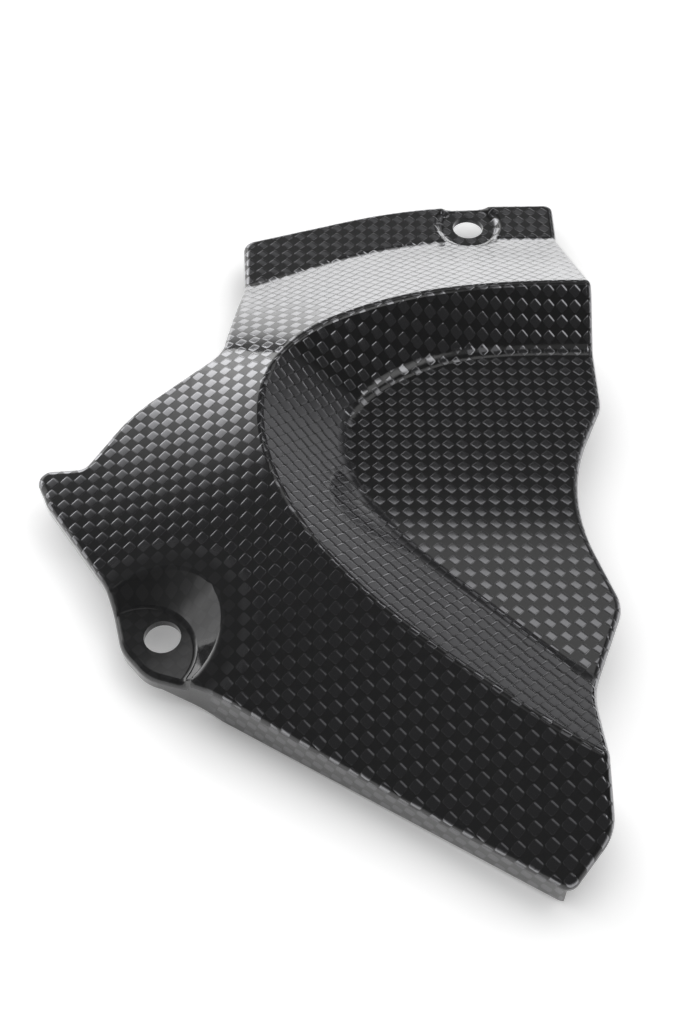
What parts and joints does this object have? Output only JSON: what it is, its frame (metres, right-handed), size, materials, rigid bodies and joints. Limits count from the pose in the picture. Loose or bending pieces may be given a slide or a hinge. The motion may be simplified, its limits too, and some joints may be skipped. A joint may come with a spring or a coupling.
{
  "type": "sprocket cover",
  "caption": "Thin moulded carbon-fibre cover for a motorbike's front sprocket, with a raised crest around an open dish, a turned-down skirt and recessed bolt seats.",
  "frame": {"origin": "centre of the lower bolt hole on the outer face of its seat", "axes": "+Z along the bolts, away from the engine; +X to the rear, towards the cut edge; +Y up, towards the upper bolt hole"},
  "size_m": [0.1147, 0.1681, 0.0229],
  "materials": {
    "laminate": "clear-coated plain-weave carbon laminate"
  },
  "bodies": {
    "root": {"sprocket_cover": "laminate"}
  },
  "joints": []
}
